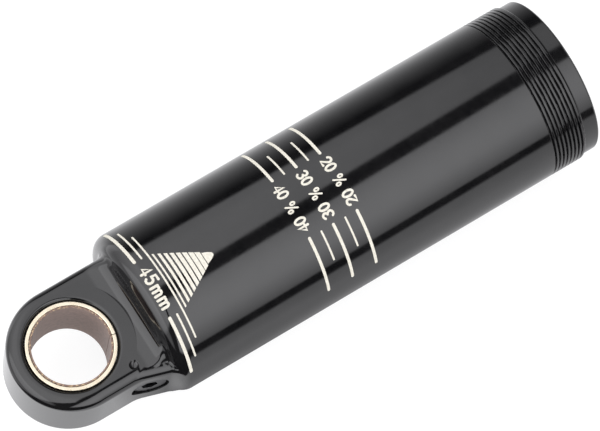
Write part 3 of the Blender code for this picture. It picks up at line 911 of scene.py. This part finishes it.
def spread(tree, value, low, high, start=0.3, end=0.7):
    """The value taken from one range to another."""
    node = tree.nodes.new("ShaderNodeMapRange")
    node.inputs["From Min"].default_value = start
    node.inputs["From Max"].default_value = end
    node.inputs["To Min"].default_value = low
    node.inputs["To Max"].default_value = high
    tree.links.new(value, node.inputs["Value"])
    return node.outputs["Result"]


def two_tones(tree, value, first, second, start=0.35, end=0.65):
    """A colour between two tones, chosen by the value."""
    ramp = tree.nodes.new("ShaderNodeValToRGB")
    ramp.color_ramp.elements[0].position = start
    ramp.color_ramp.elements[0].color = (*first, 1)
    ramp.color_ramp.elements[1].position = end
    ramp.color_ramp.elements[1].color = (*second, 1)
    tree.links.new(value, ramp.inputs["Fac"])
    return ramp.outputs["Color"]


def add_bump(tree, shader, height, strength, distance):
    bump = tree.nodes.new("ShaderNodeBump")
    bump.inputs["Strength"].default_value = strength
    bump.inputs["Distance"].default_value = distance
    tree.links.new(height, bump.inputs["Height"])
    tree.links.new(bump.outputs["Normal"], shader.inputs["Normal"])


def black_anodised():
    """Polished aluminium under a gloss black film, with a faint haze and the finest of ripples."""
    material, tree, shader = new_material("gloss_black_anodising", IOR=1.62)
    tone = two_tones(tree, noise(tree, 240), (0.0045, 0.0045, 0.005), (0.0075, 0.0073, 0.0078))
    tree.links.new(tone, shader.inputs["Base Color"])
    haze = spread(tree, noise(tree, 900), 0.06, 0.10)
    tree.links.new(haze, shader.inputs["Roughness"])
    add_bump(tree, shader, noise(tree, 2600, 3.0), 0.02, 0.02 * MM)
    return material


def etched_cream():
    """Laser-etched marks: matt, warm white, a little uneven."""
    material, tree, shader = new_material("etched_cream", Roughness=0.75)
    tone = two_tones(tree, noise(tree, 3000), (0.66, 0.63, 0.54), (0.78, 0.75, 0.66))
    tree.links.new(tone, shader.inputs["Base Color"])
    add_bump(tree, shader, noise(tree, 9000), 0.3, 0.01 * MM)
    return material


def rolled_bronze():
    """The bushing's shell: pale tinned bronze with fine marks along the rolling."""
    material, tree, shader = new_material("tinned_bronze", Metallic=1.0)
    grain = noise(tree, 700, stretch=(1, 1, 6))
    tone = two_tones(tree, grain, (0.80, 0.70, 0.54), (0.90, 0.82, 0.66))
    tree.links.new(tone, shader.inputs["Base Color"])
    tree.links.new(spread(tree, grain, 0.22, 0.34), shader.inputs["Roughness"])
    add_bump(tree, shader, grain, 0.15, 0.02 * MM)
    return material


def brown_liner():
    """The bushing's low-friction lining: matt brown, worn through to bronze in flecks at its lip."""
    material, tree, shader = new_material("brown_liner", Roughness=0.5)
    tone = two_tones(tree, noise(tree, 1800), (0.16, 0.10, 0.08), (0.23, 0.15, 0.12), 0.3, 0.7)
    place = tree.nodes.new("ShaderNodeTexCoord")
    parts = tree.nodes.new("ShaderNodeSeparateXYZ")
    tree.links.new(place.outputs["Object"], parts.inputs[0])
    lip = spread(tree, parts.outputs["Z"], 0, 1, BUSHING_HALF - WORN_LIP, BUSHING_HALF)
    worn = product(tree, [lip, spread(tree, noise(tree, 2600, 6.0), 0, 1, 0.53, 0.6)])
    mix = tree.nodes.new("ShaderNodeMix")
    mix.data_type = "RGBA"
    tree.links.new(worn, mix.inputs["Factor"])
    tree.links.new(tone, mix.inputs["A"])
    mix.inputs["B"].default_value = (0.5, 0.36, 0.22, 1)
    tree.links.new(mix.outputs["Result"], shader.inputs["Base Color"])
    add_bump(tree, shader, noise(tree, 3000), 0.3, 0.02 * MM)
    return material


def turned_metal(name, first, second, roughness, grain_scale=1500):
    """A machined metal: two close tones, uneven polish and a fine tool pattern."""
    material, tree, shader = new_material(name, Metallic=1.0)
    grain = noise(tree, grain_scale)
    tone = two_tones(tree, grain, first, second)
    tree.links.new(tone, shader.inputs["Base Color"])
    tree.links.new(spread(tree, grain, roughness * 0.8, roughness * 1.25), shader.inputs["Roughness"])
    add_bump(tree, shader, noise(tree, grain_scale * 3), 0.2, 0.01 * MM)
    return material


def soft_polymer(name, first, second, roughness):
    """Moulded rubber or plastic with a slightly uneven, matt skin."""
    material, tree, shader = new_material(name, Roughness=roughness)
    tone = two_tones(tree, noise(tree, 1300), first, second)
    tree.links.new(tone, shader.inputs["Base Color"])
    add_bump(tree, shader, noise(tree, 5000), 0.3, 0.01 * MM)
    return material


def dress(names, material, edge):
    """Gives CAD pieces their finish, and breaks their sharp edges."""
    for name in names:
        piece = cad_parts[name]
        piece.data.materials.clear()
        piece.data.materials.append(material)
        if edge:
            bevel = piece.modifiers.new("broken_edges", "BEVEL")
            bevel.width = edge
            bevel.segments = 2
            bevel.limit_method = "ANGLE"
            bevel.angle_limit = math.radians(40)


# ---------------------------------------------------------------- light and camera


def dot_window(tree, direction, normal, low, high):
    """1 where the direction lies well to one side of a plane, and 0 on the other side."""
    dot = tree.nodes.new("ShaderNodeVectorMath")
    dot.operation = "DOT_PRODUCT"
    dot.inputs[1].default_value = normal
    ramp = tree.nodes.new("ShaderNodeMapRange")
    ramp.inputs["From Min"].default_value = low
    ramp.inputs["From Max"].default_value = high
    tree.links.new(direction, dot.inputs[0])
    tree.links.new(dot.outputs["Value"], ramp.inputs["Value"])
    return ramp


def product(tree, values, strength=1.0):
    """All the values multiplied together."""
    result = None
    for value in values:
        node = tree.nodes.new("ShaderNodeMath")
        node.operation = "MULTIPLY"
        tree.links.new(value, node.inputs[0])
        if result is None:
            node.inputs[1].default_value = strength
        else:
            tree.links.new(result, node.inputs[1])
        result = node.outputs[0]
    return result


def gradient(tree, direction, normal, low, high, from_value, to_value):
    """A value that runs from one level to another across a plane."""
    ramp = dot_window(tree, direction, normal, low, high)
    ramp.inputs["To Min"].default_value = from_value
    ramp.inputs["To Max"].default_value = to_value
    return ramp.outputs["Result"]


def side(tree, direction, normal, low, high):
    return dot_window(tree, direction, normal, low, high).outputs["Result"]


def left_box(tree, direction):
    """The softbox above the +Y side, dimmer at its low end."""
    return product(
        tree,
        [
            side(tree, direction, (-0.862, 0.507, 0.135), -0.015, 0.015),
            side(tree, direction, (-0.42, 1.0, 0.665), -0.05, 0.05),
            side(tree, direction, (-0.812, -0.036, 0.583), -0.02, 0.02),
            gradient(tree, direction, (1, 0, 0), -0.1, 0.15, 1.27, 1.0),
            gradient(tree, direction, (1, 0, 0), 0.24, 0.3, 1.0, 0.62),
            gradient(tree, direction, (0, 0, 1), -0.3, 0.7, 0.4, 1.0),
        ],
        LEFT_BOX_STRENGTH,
    )


def right_box(tree, direction):
    """The softbox above the -Y side, brightest away from the dark gap."""
    return product(
        tree,
        [
            side(tree, direction, (0.862, -0.507, -0.31), -0.015, 0.015),
            side(tree, direction, (-0.741, -0.14, 0.657), -0.01, 0.01),
            side(tree, direction, (0, 0, 1), -0.05, 0.05),
            gradient(tree, direction, (0.862, -0.507, -0.31), 0.0, 0.47, 0.55, 1.0),
            gradient(tree, direction, (-0.741, -0.14, 0.657), 0.0, 0.55, 0.26, 1.0),
        ],
        RIGHT_BOX_STRENGTH,
    )


def sweep(tree, direction):
    """The white table below and beyond the object."""
    return product(
        tree,
        [
            side(tree, direction, (0.752, 0.284, -0.595), -0.02, 0.02),
            side(tree, direction, (0, -0.4, -0.9), -0.59, 0.41),
            side(tree, direction, (1, 0, 0), -0.6, -0.35),
            gradient(tree, direction, (1, 0, 0), -0.3, 0.3, 1.25, 0.89),
            gradient(tree, direction, (0, 1, 0), -0.35, 0.3, 0.9, 1.08),
            gradient(tree, direction, (0, 0, 1), -0.9, -0.6, 1.0, 1.18),
        ],
    )


def horizon(tree, direction):
    """Pale surroundings low down beyond the eyelet, which the web shows."""
    beyond = side(tree, direction, (-1, 0, 0), 0.72, 0.8)
    above = side(tree, direction, (0, 0, 1), -0.2, -0.1)
    return product(tree, [beyond, above], HORIZON_STRENGTH)


def added(tree, values):
    """All the values added together."""
    total = values[0]
    for value in values[1:]:
        plus = tree.nodes.new("ShaderNodeMath")
        plus.operation = "ADD"
        tree.links.new(total, plus.inputs[0])
        tree.links.new(value, plus.inputs[1])
        total = plus.outputs[0]
    return total


def studio():
    """Two big softboxes overhead with a dark gap between them, and a white sweep below."""
    world = bpy.data.worlds.new("studio")
    bpy.context.scene.world = world
    world.use_nodes = True
    tree = world.node_tree
    tree.nodes.clear()
    direction = tree.nodes.new("ShaderNodeTexCoord").outputs["Generated"]
    lights = [light(tree, direction) for light in (left_box, right_box, sweep, horizon)]
    lit = tree.nodes.new("ShaderNodeBackground")
    lit.inputs["Color"].default_value = (0.98, 0.98, 1.0, 1)
    tree.links.new(added(tree, lights), lit.inputs["Strength"])
    backdrop = tree.nodes.new("ShaderNodeBackground")
    backdrop.inputs["Color"].default_value = (1, 1, 1, 1)
    seen = tree.nodes.new("ShaderNodeLightPath")
    mix = tree.nodes.new("ShaderNodeMixShader")
    output = tree.nodes.new("ShaderNodeOutputWorld")
    tree.links.new(seen.outputs["Is Camera Ray"], mix.inputs["Fac"])
    tree.links.new(lit.outputs[0], mix.inputs[1])
    tree.links.new(backdrop.outputs[0], mix.inputs[2])
    tree.links.new(mix.outputs[0], output.inputs["Surface"])
    bpy.context.scene.view_settings.view_transform = "Standard"


def floor():
    """A pale sweep under the object. It glows a little, as a table lit from below does."""
    reach = FLOOR_REACH
    level = cad_box[0].z
    corners = [(-reach, -reach), (reach, -reach), (reach, reach), (-reach, reach)]
    mesh = mesh_from("floor", [(x, y, level) for x, y in corners], [(0, 1, 2, 3)])
    sheet = bpy.data.objects.new("floor", mesh)
    bpy.context.scene.collection.objects.link(sheet)
    material, _, shader = new_material("pale_floor", Roughness=0.9)
    shader.inputs["Specular IOR Level"].default_value = 0.0
    shader.inputs["Base Color"].default_value = (0.3, 0.3, 0.3, 1)
    shader.inputs["Emission Color"].default_value = (1, 1, 1, 1)
    shader.inputs["Emission Strength"].default_value = 0.8
    mesh.materials.append(material)
    sheet.visible_glossy = False


def table_shade():
    """What the tube shows of its own shadow on the table: a grey veil that only mirrors see."""
    level = cad_box[0].z - 0.01 * MM
    corners = [(0, -60 * MM), (150 * MM, -60 * MM), (150 * MM, 12 * MM), (0, 12 * MM)]
    mesh = mesh_from("table_shade", [(x, y, level) for x, y in corners], [(0, 1, 2, 3)])
    sheet = bpy.data.objects.new("table_shade", mesh)
    bpy.context.scene.collection.objects.link(sheet)
    material = bpy.data.materials.new("table_shade")
    material.use_nodes = True
    tree = material.node_tree
    tree.nodes.clear()
    place = tree.nodes.new("ShaderNodeTexCoord").outputs["Object"]
    depth = product(
        tree,
        [
            gradient(tree, place, (1, 0, 0), 5 * MM, 14 * MM, 0, 1),
            gradient(tree, place, (1, 0, 0), 30 * MM, 97 * MM, 0.72, 0.15),
            gradient(tree, place, (0, 1, 0), -20 * MM, -14 * MM, 0.6, 1),
            gradient(tree, place, (0, 1, 0), -45 * MM, -20 * MM, 0, 1),
        ],
    )
    rest = tree.nodes.new("ShaderNodeMath")
    rest.operation = "SUBTRACT"
    rest.inputs[0].default_value = 1
    tree.links.new(depth, rest.inputs[1])
    veil = tree.nodes.new("ShaderNodeBsdfTransparent")
    output = tree.nodes.new("ShaderNodeOutputMaterial")
    tree.links.new(rest.outputs[0], veil.inputs["Color"])
    tree.links.new(veil.outputs[0], output.inputs["Surface"])
    mesh.materials.append(material)
    sheet.visible_camera = False
    sheet.visible_diffuse = False
    sheet.visible_transmission = False
    sheet.visible_shadow = False


def camera():
    """A long lens that looks down on the object from beyond the eyelet."""
    data = bpy.data.cameras.new("camera")
    data.lens = CAMERA_LENS
    data.sensor_width = 36
    data.clip_start = 0.01
    data.clip_end = 20
    made = bpy.data.objects.new("camera", data)
    bpy.context.scene.collection.objects.link(made)
    back = (CAMERA_PLACE - CAMERA_TARGET).normalized()
    right = Vector((0, 0, 1)).cross(back).normalized()
    up = back.cross(right)
    tilted_right = right * math.cos(CAMERA_ROLL) + up * math.sin(CAMERA_ROLL)
    tilted_up = back.cross(tilted_right)
    turn = Matrix((tilted_right, tilted_up, back)).transposed()
    made.matrix_world = Matrix.Translation(CAMERA_PLACE) @ turn.to_4x4()
    bpy.context.scene.camera = made


# ---------------------------------------------------------------- the scene


def keep_cad_shapes():
    """Finishes for the valve, the floating piston and the seals."""
    brass = turned_metal("turned_brass", (0.66, 0.48, 0.22), (0.76, 0.58, 0.30), 0.28)
    bright = turned_metal("bright_steel", (0.56, 0.56, 0.58), (0.68, 0.68, 0.70), 0.24)
    grey = turned_metal("clear_anodised", (0.50, 0.51, 0.53), (0.60, 0.61, 0.63), 0.36)
    rubber = soft_polymer("nitrile_rubber", (0.012, 0.012, 0.012), (0.022, 0.022, 0.022), 0.6)
    band = soft_polymer("filled_ptfe", (0.07, 0.12, 0.10), (0.11, 0.17, 0.15), 0.5)
    dress(BRASS_NODES, brass, 0.02 * MM)
    dress(RUBBER_NODES, rubber, 0)
    dress(["ifp_piston"], grey, 0.08 * MM)
    dress(["ifp_bleed_screw"], bright, 0.03 * MM)
    dress(["valve_spring"], bright, 0)
    dress(["ifp_glide_ring"], band, 0.05 * MM)


def build():
    cream = etched_cream()
    damper_body(black_anodised())
    bushing(rolled_bronze(), brown_liner())
    port_plug(turned_metal("blackened_steel", (0.05, 0.05, 0.055), (0.09, 0.09, 0.095), 0.32))
    sag_scale(cream)
    stroke_scale(cream)
    keep_cad_shapes()
    studio()
    floor()
    table_shade()
    camera()


build()
